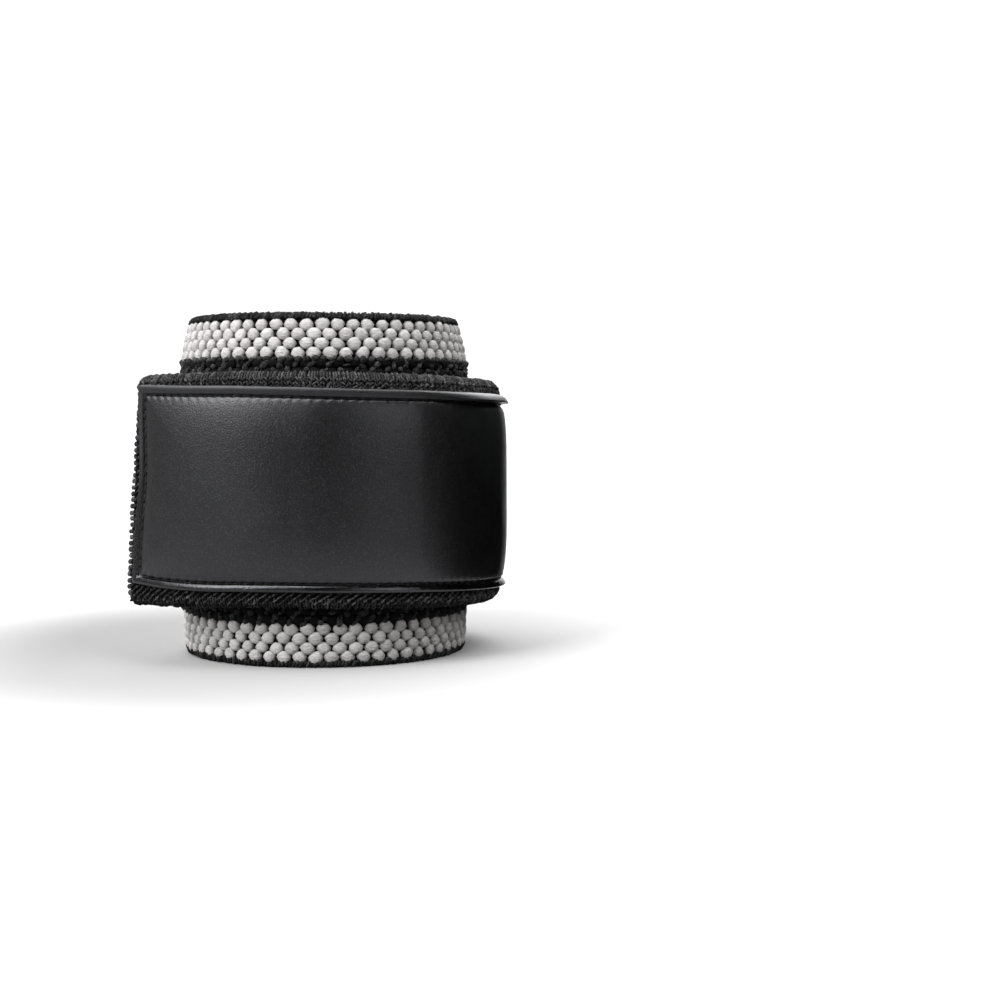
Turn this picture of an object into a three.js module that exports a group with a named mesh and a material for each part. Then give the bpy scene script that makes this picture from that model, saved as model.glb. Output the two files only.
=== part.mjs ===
// Elastic wrist wrap, rolled up and closed with its leather-faced strap, standing on its lower edge.
// Millimetres, +Z up. The front of the wrap, where the leather shows, faces -Y.
import * as THREE from "three";

// Angles are in degrees, anticlockwise from +X as seen from above, and count on past 360 turn by turn.
// The strap runs from its free end at the left over the front and the right to its root at the back.
// The band starts under that root and winds inwards the same way round.
const FRONT = 270;
const BACK = 450;
const OUTER_TURN_FRONT = FRONT + 360;

// Elastic band
const WRAP_LENGTH = 457; // laid flat, from the strap's free end to the band's inner end: an 18 inch wrap
const BAND_WIDTH = 76;
const BAND_THICKNESS = 2.6;
const TURN_GAP = 0.4;
const TURN_PITCH = BAND_THICKNESS + TURN_GAP;
const COIL_RADIUS = 33; // outer face of the outer turn, at the front
const BAND_START = 405;
const BAND_STATION_STEP = 8;

// Grey bead rows, let into the band's outer face near both edges
const BEAD_ROWS = 4;
const BEAD_ROW_PITCH = 2.06;
const STRIPE_WIDTH = BEAD_ROWS * BEAD_ROW_PITCH;
const STRIPE_EDGE_GAP = 0.15;
const STRIPE_RECESS = 1.3;
const STRIPE_SEAT_GAP = 0.3;
const RIDGE_DEPTH = 0.5;
const SELVEDGE = 1.5; // black edge of the band beside each grey stripe
const SELVEDGE_SETBACK = 0.4;
const EDGE_CHAMFER = 0.5;

// How far the band's wall leans in towards the axis at each height: its edges draw in, the upper one most.
const EDGE_LEAN = [
  { height: 0, lean: 0.9 },
  { height: 5, lean: 0.4 },
  { height: 14, lean: 0 },
  { height: 60, lean: 0 },
  { height: 66, lean: 0.2 },
  { height: 71, lean: 1.0 },
  { height: BAND_WIDTH, lean: 2.5 },
];

// Closure strap: the route of its inner face round the coil and the height of the middle of its width,
// from the free end, which stands off the coil, to the root. It winds slightly downhill.
const STRAP_WIDTH = 50;
const STRAP_THICKNESS = 4;
const STRAP_CORNER = 3;
const STRAP_SLANT = 3; // the free end is cut at a slant: its lower corner reaches this much further
const STRAP_SLANT_LENGTH = 12;
const STRAP_FLARE = 0.35; // the free end's lower corner stands out this much more than its middle
const STRAP_FLARE_LENGTH = 40;
const STRAP_STATIONS = 40;
const ROUTE_DIVISIONS = 200; // for measuring lengths along the route, between two rows of the table
const STRAP_ROUTE = [
  { angle: 200.2, radius: 44.35, middle: 38.3 },
  { angle: 214.5, radius: 40.1, middle: 38.3 },
  { angle: 228.5, radius: 37.1, middle: 38.3 },
  { angle: 243.5, radius: 34.95, middle: 38.3 },
  { angle: 258, radius: 33.8, middle: 38.3 },
  { angle: FRONT, radius: 33.5, middle: 38.2 },
  { angle: 300, radius: 33.7, middle: 37.9 },
  { angle: 330, radius: 34.5, middle: 37.3 },
  { angle: 360, radius: 35.3, middle: 36.7 },
  { angle: 385, radius: 35.5, middle: 36.3 },
  { angle: BAND_START, radius: 35.45, middle: 36 },
  { angle: 420, radius: 35.2, middle: 35.8 },
  { angle: 435, radius: 35.1, middle: 35.6 },
  { angle: 442, radius: 35.1, middle: 35.5 },
  { angle: BACK, radius: 35, middle: 35.4 },
];

// Leather panel on the strap's outer face
const PANEL_WIDTH = 42.8;
const PANEL_END_MARGIN = 3.1; // strap that shows past the panel at the middle of the free end
const PANEL_ROOT_MARGIN = 15; // strap left bare at the root, for its stitching
const PANEL_SEAT_GAP = 0.3;
const PANEL_SLANT = 2.4; // the panel's end follows the slant of the strap's
const PANEL_SLANT_LENGTH = 14;
const PANEL_STATION_STEP = 5;

// The panel's turned edge: how thick the leather is at each distance in from its outline.
const PANEL_EDGE = [
  { inset: 0, thickness: 0.4 },
  { inset: 0.35, thickness: 0.86 },
  { inset: 1.35, thickness: 1.1 },
  { inset: 1.7, thickness: 0.6 },
  { inset: 2.15, thickness: 0.6 },
  { inset: 2.6, thickness: 0.95 },
  { inset: 3.8, thickness: 1.23 },
  { inset: 6.2, thickness: 1.49 },
  { inset: 11, thickness: 1.7 },
];
const PANEL_FIELD_THICKNESS = 1.76;

// Finishes
const BLACK_ELASTIC = new THREE.MeshStandardMaterial({ color: 0x141415, roughness: 0.9, metalness: 0 });
const GREY_YARN = new THREE.MeshStandardMaterial({ color: 0xb9b4b4, roughness: 0.85, metalness: 0 });
const BLACK_STRAP = new THREE.MeshStandardMaterial({ color: 0x17171a, roughness: 0.95, metalness: 0 });
const BLACK_LEATHER = new THREE.MeshStandardMaterial({ color: 0x222225, roughness: 0.45, metalness: 0 });

const radians = THREE.MathUtils.degToRad;

// Reads a table by straight lines between its rows.
function interpolate(table, keyColumn, valueColumn, key) {
  const next = table.findIndex((row) => row[keyColumn] >= key);
  if (next === 0) return table[0][valueColumn];
  if (next < 0) return table.at(-1)[valueColumn];
  const [low, high] = [table[next - 1], table[next]];
  const share = (key - low[keyColumn]) / (high[keyColumn] - low[keyColumn]);
  return THREE.MathUtils.lerp(low[valueColumn], high[valueColumn], share);
}

// Numbers from start to end in equal steps no longer than step.
function spaced(start, end, step) {
  const count = Math.ceil((end - start) / step - 1e-6);
  return Array.from({ length: count + 1 }, (_, i) => start + ((end - start) * i) / count);
}

function geometryFrom(points, triangles) {
  const geometry = new THREE.BufferGeometry().setFromPoints(points);
  geometry.setIndex(triangles);
  geometry.computeVertexNormals();
  return geometry;
}

// A closed solid through rings of points, one ring per station, with flat caps.
// outline is the ring with outwards to the right and up at the top, anticlockwise, for the caps' triangles.
function loft(rings, outline) {
  const size = outline.length;
  const triangles = [];
  for (let station = 0; station + 1 < rings.length; station++) {
    for (let i = 0; i < size; i++) {
      const [a, b] = [station * size + i, station * size + ((i + 1) % size)];
      triangles.push(a, a + size, b, b, a + size, b + size);
    }
  }
  const last = (rings.length - 1) * size;
  for (const [a, b, c] of THREE.ShapeUtils.triangulateShape(outline, [])) {
    triangles.push(a, b, c, last + a, last + c, last + b);
  }
  return geometryFrom(rings.flat(), triangles);
}

// A closed solid between two grids of points, [station][row], that share their outline's walls.
function sheetBetween(outer, inner) {
  const [stations, rows] = [outer.length, outer[0].length];
  const lower = stations * rows;
  const at = (station, row) => station * rows + row;
  const triangles = [];
  const quad = (a, b, c, d) => triangles.push(a, b, c, a, c, d);
  for (let s = 0; s + 1 < stations; s++) {
    for (let r = 0; r + 1 < rows; r++) {
      const corners = [at(s, r), at(s + 1, r), at(s + 1, r + 1), at(s, r + 1)];
      quad(...corners);
      quad(...corners.map((v) => v + lower).reverse());
    }
  }
  const rim = [
    ...spaced(0, stations - 1, 1).map((s) => at(s, 0)),
    ...spaced(1, rows - 1, 1).map((r) => at(stations - 1, r)),
    ...spaced(1, stations - 1, 1).map((s) => at(stations - 1 - s, rows - 1)),
    ...spaced(1, rows - 2, 1).map((r) => at(0, rows - 1 - r)),
  ];
  rim.forEach((v, i) => {
    const next = rim[(i + 1) % rim.length];
    quad(v, v + lower, next + lower, next);
  });
  return geometryFrom([...outer.flat(), ...inner.flat()], triangles);
}

// Coil

function coilRadius(angle) {
  return COIL_RADIUS - (TURN_PITCH * (angle - OUTER_TURN_FRONT)) / 360;
}

// The angle at which a band of the given length ends, measured along the middle of its thickness.
function bandEnd(length) {
  const startRadius = coilRadius(BAND_START) - BAND_THICKNESS / 2;
  const shrink = TURN_PITCH / (2 * Math.PI);
  const turned = (startRadius - Math.sqrt(startRadius ** 2 - 2 * shrink * length)) / shrink;
  return BAND_START + THREE.MathUtils.radToDeg(turned);
}

// Winds a cross-section of the band, given as setback from the outer face and height, along the coil.
function woundSection(section, endAngle) {
  const rings = spaced(BAND_START, endAngle, BAND_STATION_STEP).map((angle) =>
    section.map(({ setback, height }) => {
      const radius = coilRadius(angle) - interpolate(EDGE_LEAN, "height", "lean", height) - setback;
      return new THREE.Vector3(radius * Math.cos(radians(angle)), radius * Math.sin(radians(angle)), height);
    }),
  );
  const outline = section.map(({ setback, height }) => new THREE.Vector2(-setback, height));
  return loft(rings, outline);
}

// The lower and upper edges of a grey stripe's recess.
const STRIPES = {
  lower: { bottom: SELVEDGE, top: SELVEDGE + STRIPE_WIDTH },
  upper: { bottom: BAND_WIDTH - SELVEDGE - STRIPE_WIDTH, top: BAND_WIDTH - SELVEDGE },
};

// The black ground: a wall with a recess for each grey stripe and a chamfer along both edges.
function elasticBand(endAngle) {
  const { lower, upper } = STRIPES;
  const recess = ({ bottom, top }) =>
    [bottom, (bottom + top) / 2, top].map((height) => ({ setback: STRIPE_RECESS, height }));
  const outerFace = [
    { setback: SELVEDGE_SETBACK + EDGE_CHAMFER, height: 0 },
    { setback: SELVEDGE_SETBACK, height: EDGE_CHAMFER },
    { setback: SELVEDGE_SETBACK, height: lower.bottom },
    ...recess(lower),
    { setback: 0, height: lower.top },
    { setback: 0, height: 14 },
    { setback: 0, height: 60 },
    { setback: 0, height: upper.bottom },
    ...recess(upper),
    { setback: SELVEDGE_SETBACK, height: upper.top },
    { setback: SELVEDGE_SETBACK, height: BAND_WIDTH - EDGE_CHAMFER },
    { setback: SELVEDGE_SETBACK + EDGE_CHAMFER, height: BAND_WIDTH },
  ];
  const innerHeights = [BAND_WIDTH - EDGE_CHAMFER, 71, 66, 60, 14, 5, EDGE_CHAMFER];
  const innerFace = [
    { setback: BAND_THICKNESS - EDGE_CHAMFER, height: BAND_WIDTH },
    ...innerHeights.map((height) => ({ setback: BAND_THICKNESS, height })),
    { setback: BAND_THICKNESS - EDGE_CHAMFER, height: 0 },
  ];
  return new THREE.Mesh(woundSection([...outerFace, ...innerFace], endAngle), BLACK_ELASTIC);
}

// One grey stripe: a strip with a rounded ridge for each bead row, seated in its recess.
function greyRows({ bottom, top }, endAngle) {
  const [low, high] = [bottom + STRIPE_EDGE_GAP, top - STRIPE_EDGE_GAP];
  const ridgePitch = (high - low) / BEAD_ROWS;
  const outerFace = spaced(0, 2 * BEAD_ROWS, 1).map((half) => ({
    setback: half % 2 ? 0 : RIDGE_DEPTH,
    height: low + (half * ridgePitch) / 2,
  }));
  const seat = STRIPE_RECESS - STRIPE_SEAT_GAP;
  const innerFace = [high, (low + high) / 2, low].map((height) => ({ setback: seat, height }));
  return new THREE.Mesh(woundSection([...outerFace, ...innerFace], endAngle), GREY_YARN);
}

// Strap

const strapCurve = new THREE.CatmullRomCurve3(
  STRAP_ROUTE.map(({ angle, radius, middle }) =>
    new THREE.Vector3(radius * Math.cos(radians(angle)), radius * Math.sin(radians(angle)), middle),
  ),
  false,
  "centripetal",
);
strapCurve.arcLengthDivisions = ROUTE_DIVISIONS * (STRAP_ROUTE.length - 1);
const strapLength = strapCurve.getLength();
const strapEnd = STRAP_SLANT / 2; // where the middle of the slanted free end lies on the route

// A point on the strap: distance along its route, height across its width, and lift from its inner face.
function onStrap(distance, across, lift) {
  const share = distance / strapLength;
  const tangent = strapCurve.getTangentAt(share);
  const outwards = new THREE.Vector3(tangent.y, -tangent.x, 0).normalize();
  const nearEnd = Math.max(0, 1 - distance / STRAP_FLARE_LENGTH);
  const flare = (-STRAP_FLARE * nearEnd ** 2 * across) / (STRAP_WIDTH / 2);
  const point = strapCurve.getPointAt(share).addScaledVector(outwards, lift + flare);
  return point.setZ(point.z + across);
}

// Half the strap's width at a distance from its free end, whose two corners are rounded.
function strapHalfWidth(fromEnd) {
  const inCorner = Math.max(0, STRAP_CORNER - fromEnd);
  return STRAP_WIDTH / 2 - STRAP_CORNER + Math.sqrt(STRAP_CORNER ** 2 - inCorner ** 2);
}

// How far the slant moves a point of the strap along the route.
function strapSlant(fromEnd, across) {
  const fade = Math.max(0, 1 - fromEnd / STRAP_SLANT_LENGTH);
  return (fade * STRAP_SLANT * across) / STRAP_WIDTH;
}

// The strap's section is a slab whose two long edges are rounded.
function closureStrap() {
  const edgeRadius = STRAP_THICKNESS / 2;
  const edgeAngles = spaced(-90, 90, 36);
  const sectionAt = (halfWidth) => {
    const centre = halfWidth - edgeRadius;
    const upper = edgeAngles.map((angle) => ({
      lift: edgeRadius - edgeRadius * Math.sin(radians(angle)),
      across: centre + edgeRadius * Math.cos(radians(angle)),
    }));
    const lower = upper.map(({ lift, across }) => ({ lift: STRAP_THICKNESS - lift, across: -across }));
    return [...upper, ...lower];
  };
  const cornerStations = [0, 0.15, 0.4, 0.75].map((share) => share * STRAP_CORNER);
  const reach = strapLength - strapEnd;
  const stations = [...cornerStations, ...spaced(STRAP_CORNER, reach, reach / STRAP_STATIONS)];
  const rings = stations.map((fromEnd) =>
    sectionAt(strapHalfWidth(fromEnd)).map(({ lift, across }) =>
      onStrap(strapEnd + fromEnd + strapSlant(fromEnd, across), across, lift),
    ),
  );
  const outline = sectionAt(STRAP_WIDTH / 2).map(({ lift, across }) => new THREE.Vector2(lift, across));
  return new THREE.Mesh(loft(rings, outline), BLACK_STRAP);
}

// Leather

// The panel's thickness at a distance in from its nearest edge: turned rim, stitched groove, then the field.
function panelThickness(inset) {
  const field = { inset: PANEL_WIDTH / 2, thickness: PANEL_FIELD_THICKNESS };
  return interpolate([...PANEL_EDGE, field], "inset", "thickness", inset);
}

// How far the slant of the panel's end moves a point along the route.
function panelSlant(fromEnd, across) {
  const fade = Math.max(0, 1 - fromEnd / PANEL_SLANT_LENGTH);
  return (fade * PANEL_SLANT * across) / PANEL_WIDTH;
}

function leatherPanel() {
  const start = strapEnd + PANEL_END_MARGIN;
  const end = strapLength - PANEL_ROOT_MARGIN;
  const insets = PANEL_EDGE.map((row) => row.inset);
  const fieldInset = insets.at(-1);
  const distances = [
    ...insets.map((inset) => start + inset),
    ...spaced(start + fieldInset, end - fieldInset, PANEL_STATION_STEP).slice(1, -1),
    ...insets.map((inset) => end - inset).reverse(),
  ];
  const halfWidth = PANEL_WIDTH / 2;
  const rows = [
    ...insets.map((inset) => inset - halfWidth),
    0,
    ...insets.map((inset) => halfWidth - inset).reverse(),
  ];
  const seat = STRAP_THICKNESS + PANEL_SEAT_GAP;
  const grid = (lift) =>
    distances.map((s) => rows.map((across) => onStrap(s + panelSlant(s - start, across), across, lift(s, across))));
  const insetAt = (s, across) => Math.min(s - start, end - s, halfWidth - Math.abs(across));
  const outer = grid((s, across) => seat + panelThickness(insetAt(s, across)));
  const inner = grid(() => seat);
  return new THREE.Mesh(sheetBetween(outer, inner), BLACK_LEATHER);
}

// Assembly

function named(mesh, name) {
  mesh.name = name;
  return mesh;
}

const rootOverlap = radians(BACK - BAND_START) * coilRadius(BAND_START);
const endAngle = bandEnd(WRAP_LENGTH - (strapLength - strapEnd) + rootOverlap);

const pieces = new THREE.Group();
pieces.add(
  named(elasticBand(endAngle), "elastic_band"),
  named(greyRows(STRIPES.upper, endAngle), "grey_rows_upper"),
  named(greyRows(STRIPES.lower, endAngle), "grey_rows_lower"),
  named(closureStrap(), "closure_strap"),
  named(leatherPanel(), "leather_panel"),
);

// The origin is under the middle of the wrap's outline, on the surface that it stands on.
const box = new THREE.Box3().setFromObject(pieces);
const middle = box.getCenter(new THREE.Vector3());
pieces.position.set(-middle.x, -middle.y, -box.min.z);

const wristWrap = new THREE.Group();
wristWrap.add(pieces);

export default wristWrap;
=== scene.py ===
# %% [markdown]
# # A rolled wrist wrap
# The wrap is one long band of black elastic with a stripe of grey yarn beads along each edge.
# It is rolled into a ring that stands on its edge, and a thick looped strap with a leather facing closes it.
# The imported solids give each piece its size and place.
# This lesson dresses them one after the other in what the real pieces are made of.

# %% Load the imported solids
import math

import bmesh
import bpy
import numpy as np
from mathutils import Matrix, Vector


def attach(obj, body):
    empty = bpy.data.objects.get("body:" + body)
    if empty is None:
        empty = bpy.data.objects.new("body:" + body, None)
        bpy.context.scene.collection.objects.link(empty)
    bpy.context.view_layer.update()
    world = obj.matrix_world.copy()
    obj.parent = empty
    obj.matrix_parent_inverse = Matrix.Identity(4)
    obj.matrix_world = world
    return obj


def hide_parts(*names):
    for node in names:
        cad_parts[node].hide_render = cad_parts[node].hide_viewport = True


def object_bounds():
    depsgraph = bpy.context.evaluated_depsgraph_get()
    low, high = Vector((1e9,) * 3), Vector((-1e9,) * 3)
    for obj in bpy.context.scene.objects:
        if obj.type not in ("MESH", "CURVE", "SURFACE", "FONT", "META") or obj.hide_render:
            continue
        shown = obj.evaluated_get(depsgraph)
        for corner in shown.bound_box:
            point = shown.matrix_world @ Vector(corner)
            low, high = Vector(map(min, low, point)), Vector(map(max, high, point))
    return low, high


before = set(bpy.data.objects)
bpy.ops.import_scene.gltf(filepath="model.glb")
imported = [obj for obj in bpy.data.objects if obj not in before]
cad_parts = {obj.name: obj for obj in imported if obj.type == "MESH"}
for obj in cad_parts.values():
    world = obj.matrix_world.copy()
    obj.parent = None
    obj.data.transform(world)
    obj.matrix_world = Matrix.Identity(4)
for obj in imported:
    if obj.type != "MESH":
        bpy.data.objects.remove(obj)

solids_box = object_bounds()
MM = 0.001
low, high = ([round(v / MM, 1) for v in corner] for corner in solids_box)
print("solids from", low, "to", high, "mm")

# %% [markdown]
# ## Camera
# The photograph looks at the ring from just above its middle, turned a little to the right, so that the ring
# stands left in the picture.
# The camera was fitted to the ring's outline.
# It comes first, because every later choice is judged through it.

# %% Camera
CAMERA_PLACE = (0.685 * MM, -376.37 * MM, 54 * MM)
CAMERA_TURN = (math.radians(87), 0, math.radians(-6.17))
LENS, SENSOR_WIDTH = 58.11, 36

bpy.ops.object.select_all(action="DESELECT")
bpy.ops.object.camera_add(location=CAMERA_PLACE, rotation=CAMERA_TURN)
camera = bpy.context.object
camera.data.lens = LENS
camera.data.sensor_width = SENSOR_WIDTH
camera.data.clip_start = 1 * MM
bpy.context.scene.camera = camera
print("camera", round(camera.data.lens, 1), "mm lens")

# %% [markdown]
# ## Guides to roll the flat pieces round
# Elastic and strap are woven, sewn and cut flat.
# So here too each piece is made flat, and a Curve modifier rolls it up at the end.
# Flat, X runs along the length, Z is the height and -Y is the outer face.
# A guide then carries X round the ring.
# The band follows a spiral, and the strap follows the same short table of places as its solid.

# %% Guides
AXIS = np.array([1.435, 0.322])  # where the ring's axis stands, mm
OUTER_RADIUS = 33.0  # of the band's outer face, at the front of its outer turn
OUTER_TURN_FRONT = 630  # degrees round the axis, turn upon turn
BAND_START, BAND_END = 405, 1014.4  # the same, at the band's outer and inner end
TURN_PITCH = 3.0  # the spiral closes in by this much in a turn
BAND_STEPS = 410
LINE_STEPS = 40  # points of the strap's line between two rows of its table

# Angle, radius of the strap's inner face, and height of the middle of its width, from free end to root
STRAP_ROUTE = np.array([
    (200.2, 44.35, 38.3), (214.5, 40.1, 38.3), (228.5, 37.1, 38.3), (243.5, 34.95, 38.3), (258, 33.8, 38.3),
    (270, 33.5, 38.2), (300, 33.7, 37.9), (330, 34.5, 37.3), (360, 35.3, 36.7), (385, 35.5, 36.3),
    (405, 35.45, 36), (420, 35.2, 35.8), (435, 35.1, 35.6), (442, 35.1, 35.5), (450, 35, 35.4),
])


def round_axis(angle, radius):
    turn = np.radians(angle)
    return np.column_stack([AXIS[0] + radius * np.cos(turn), AXIS[1] + radius * np.sin(turn)])


def smooth_line(points):
    """A centripetal Catmull-Rom line through the points."""
    ends = np.vstack([2 * points[0] - points[1], points, 2 * points[-1] - points[-2]])
    line = []
    for four in zip(ends, ends[1:], ends[2:], ends[3:]):
        knots = np.cumsum([0] + [np.linalg.norm(b - a) ** 0.5 for a, b in zip(four, four[1:])])
        t = np.linspace(knots[1], knots[2], LINE_STEPS, endpoint=False)[:, None]
        level = [np.array(p)[None] for p in four]
        for reach in (1, 2, 3):
            level = [
                ((knots[i + reach] - t) * a + (t - knots[i]) * b) / (knots[i + reach] - knots[i])
                for i, (a, b) in enumerate(zip(level, level[1:]))
            ]
        line.append(level[0])
    return np.vstack(line + [points[-1:]])


def lay_guide(name, points):
    """A curve object through flat points in mm, and the distance of each point along it."""
    curve = bpy.data.curves.new(name, "CURVE")
    curve.dimensions = "3D"
    curve.twist_mode = "Z_UP"
    line = curve.splines.new("POLY")
    line.points.add(len(points) - 1)
    flat = np.column_stack([points * MM, np.zeros(len(points)), np.ones(len(points))])
    line.points.foreach_set("co", flat.ravel())
    guide = bpy.data.objects.new(name, curve)
    bpy.context.collection.objects.link(guide)
    return guide, np.append(0, np.cumsum(np.linalg.norm(np.diff(points, axis=0), axis=1)))


angles = np.linspace(BAND_START, BAND_END, BAND_STEPS)
radii = OUTER_RADIUS - TURN_PITCH * (angles - OUTER_TURN_FRONT) / 360
band_guide, along_band = lay_guide("band_guide", round_axis(angles, radii))
band_length = along_band[-1]

strap_line = smooth_line(round_axis(STRAP_ROUTE[:, 0], STRAP_ROUTE[:, 1]))
strap_guide, along_strap = lay_guide("strap_guide", strap_line)
strap_length = along_strap[-1]
row_distance = along_strap[::LINE_STEPS]
print("band", round(band_length, 1), "mm along its outer face, strap", round(strap_length, 1), "mm")

# %% [markdown]
# ## Helpers for modelling by hand
# An operator works on what is selected, so one helper chooses a piece, and another selects by a test on place
# and normal.
# Others move the vertices of a flat piece by a formula, as a sculpting brush would, and roll it up.

# %% Helpers
def choose(piece):
    """Select a piece alone and make it the active one."""
    bpy.ops.object.select_all(action="DESELECT")
    piece.select_set(True)
    bpy.context.view_layer.objects.active = piece


def edit(piece):
    choose(piece)
    bpy.ops.object.mode_set(mode="EDIT")


def done():
    bpy.ops.object.mode_set(mode="OBJECT")
    return bpy.context.object


def pick(kind, test):
    """Select the VERT, EDGE or FACE elements of the piece in edit mode that pass a test."""
    bpy.ops.mesh.select_mode(type=kind)
    bpy.ops.mesh.select_all(action="DESELECT")
    mesh = bmesh.from_edit_mesh(bpy.context.object.data)
    for item in {"VERT": mesh.verts, "EDGE": mesh.edges, "FACE": mesh.faces}[kind]:
        item.select_set(bool(test(item)))
    mesh.select_flush_mode()
    bmesh.update_edit_mesh(bpy.context.object.data)


def vertex_places(mesh):
    """The places of a mesh's vertices in mm, a row each."""
    places = np.empty(len(mesh.vertices) * 3)
    mesh.vertices.foreach_get("co", places)
    return places.reshape(-1, 3) / MM


def reshape(piece, change):
    """Move a piece's vertices: change takes x, y and z in mm and gives them back."""
    places = np.column_stack(change(*vertex_places(piece.data).T)) * MM
    piece.data.vertices.foreach_set("co", places.ravel())
    piece.data.update()


def apply(piece, kind, **settings):
    """Add a modifier with its settings and apply it."""
    choose(piece)
    modifier = piece.modifiers.new(kind.lower(), kind)
    for name, value in settings.items():
        setattr(modifier, name, value)
    bpy.ops.object.modifier_apply(modifier=modifier.name)


def roll(piece, guide):
    """Roll a flat piece round its guide and print its size."""
    apply(piece, "CURVE", object=guide, deform_axis="POS_X")
    corners = np.array(piece.bound_box) / MM
    low, high = corners.min(0).round(1), corners.max(0).round(1)
    print(piece.name, len(piece.data.polygons), "faces, from", low, "to", high, "mm")


def finish_mesh(piece, name):
    """Name a new piece and give its place to its mesh."""
    piece.name = piece.data.name = name
    choose(piece)
    bpy.ops.object.transform_apply(location=True, rotation=True, scale=True)
    return piece


print("helpers ready")

# %% [markdown]
# ## Band ground
# The band's elastic core is a tight black weave that hardly shows, because yarn beads cover both its faces.
# A thin upright wall is enough: a grid at the band's length and width, leaned in row by row where the edges
# draw in, thickened with Solidify and rolled up.

# %% Band ground
BAND_WIDTH, BAND_THICKNESS, GROUND_WIDTH = 76, 2.6, 74.6
GROUND_FRONT, GROUND_BACK = 1.0, 1.9  # how deep the ground's faces lie under the band's outer face
GROUND_CELLS = (230, 36)  # along the band and across it
STANDING = (math.pi / 2, 0, 0)  # turns a level grid or plane up to face the front
# Height, and how far the band's wall leans in there
LEAN = np.array([(0, 0.9), (5, 0.4), (14, 0), (60, 0), (66, 0.2), (71, 1.0), (76, 2.5)])
SLOPE_BELOW, SLOPE_ABOVE = 0.1, 0.3  # of the lean past the band's two edges
BEND_SOFTNESS = 1.5  # the lean is averaged over this much to either side


def lean(z):
    """How far the band's wall leans in at a height: a line through the table with softened bends."""
    spread = np.asarray(z, float)[..., None] + np.linspace(-BEND_SOFTNESS, BEND_SOFTNESS, 7)
    below = -SLOPE_BELOW * np.minimum(spread, 0)
    above = SLOPE_ABOVE * np.maximum(spread - BAND_WIDTH, 0)
    return (np.interp(spread, LEAN[:, 0], LEAN[:, 1]) + below + above).mean(-1)


def lean_slope(z):
    step = 0.2
    return (lean(np.asarray(z) + step) - lean(np.asarray(z) - step)) / (2 * step)


bpy.ops.object.select_all(action="DESELECT")
along, across = GROUND_CELLS
bpy.ops.mesh.primitive_grid_add(x_subdivisions=along, y_subdivisions=across, size=1, rotation=STANDING)
bpy.ops.object.mode_set(mode="EDIT")
bpy.ops.transform.resize(value=(band_length * MM, 1, GROUND_WIDTH * MM))
bpy.ops.transform.translate(value=(band_length / 2 * MM, 0, BAND_WIDTH / 2 * MM))
band_ground = finish_mesh(done(), "band_ground")
reshape(band_ground, lambda x, y, z: (x, lean(z) + GROUND_FRONT, z))
apply(band_ground, "SOLIDIFY", thickness=(GROUND_BACK - GROUND_FRONT) * MM, offset=-1)
band_ground.data.shade_smooth()
roll(band_ground, band_guide)

# %% [markdown]
# ## Stamping many small things
# Yarn beads, ribs and stitches repeat by the hundred, each a little different from the next.
# Each is modelled once, and this helper stamps copies of it at a list of places into one joined mesh, with a
# tone for every copy that its material can read.
# About its own middle, a copy may be tilted about X, turned about Y, resized and pulled out of shape.

# %% Stamp helper
WARP_SEED = 500  # keeps the draws for the warp apart from those for the tones


def read_numbers(items, name):
    """A whole number from each element of a mesh."""
    numbers = np.empty(len(items), int)
    items.foreach_get(name, numbers)
    return numbers


def turn_copies(copies, angle, first, second):
    """Turn each copy by its angle, from the first axis towards the second."""
    angle = np.broadcast_to(angle, len(copies)).astype(float)[:, None]
    a, b = copies[:, :, first].copy(), copies[:, :, second].copy()
    copies[:, :, first] = a * np.cos(angle) - b * np.sin(angle)
    copies[:, :, second] = a * np.sin(angle) + b * np.cos(angle)


def stamp(name, template, places, tilt=0, turn=0, size=1, seed=1, warp=0):
    """Copies of a template at places (rows of x, y, z in mm), joined; the template goes."""
    source = template.data
    count, points, corners = len(places), len(source.vertices), len(source.loops)
    shape = vertex_places(source)[None] * np.broadcast_to(size, (count, 3))[:, None]
    if warp:
        pull = np.random.default_rng(seed + WARP_SEED).normal(0, warp, (count, 4, 1))
        x, z = shape[:, :, 0].copy(), shape[:, :, 2].copy()
        shape[:, :, 0] += pull[:, 0] * z + pull[:, 1] * z * z
        shape[:, :, 2] += 0.6 * pull[:, 2] * x * x + 0.5 * pull[:, 3] * x * z
    turn_copies(shape, turn, 2, 0)
    turn_copies(shape, tilt, 1, 2)
    shape += np.asarray(places)[:, None]

    copies = np.arange(count)[:, None]
    loops = read_numbers(source.loops, "vertex_index") + copies * points
    starts = read_numbers(source.polygons, "loop_start") + copies * corners
    mesh = bpy.data.meshes.new(name)
    mesh.vertices.add(count * points)
    mesh.loops.add(count * corners)
    mesh.polygons.add(count * len(source.polygons))
    mesh.vertices.foreach_set("co", (shape * MM).ravel())
    mesh.loops.foreach_set("vertex_index", loops.ravel())
    mesh.polygons.foreach_set("loop_start", starts.ravel())
    mesh.update(calc_edges=True)

    if source.uv_layers:
        wrap = np.empty(corners * 2)
        source.uv_layers[0].uv.foreach_get("vector", wrap)
        mesh.uv_layers.new(name="yarn").uv.foreach_set("vector", np.tile(wrap, count))
    tone = np.repeat(np.random.default_rng(seed).random(count), points)
    mesh.attributes.new("tone", "FLOAT", "POINT").data.foreach_set("value", tone)
    mesh.shade_smooth()
    piece = bpy.data.objects.new(name, mesh)
    bpy.context.collection.objects.link(piece)
    bpy.data.objects.remove(template)
    return piece


print("stamp ready")

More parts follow.
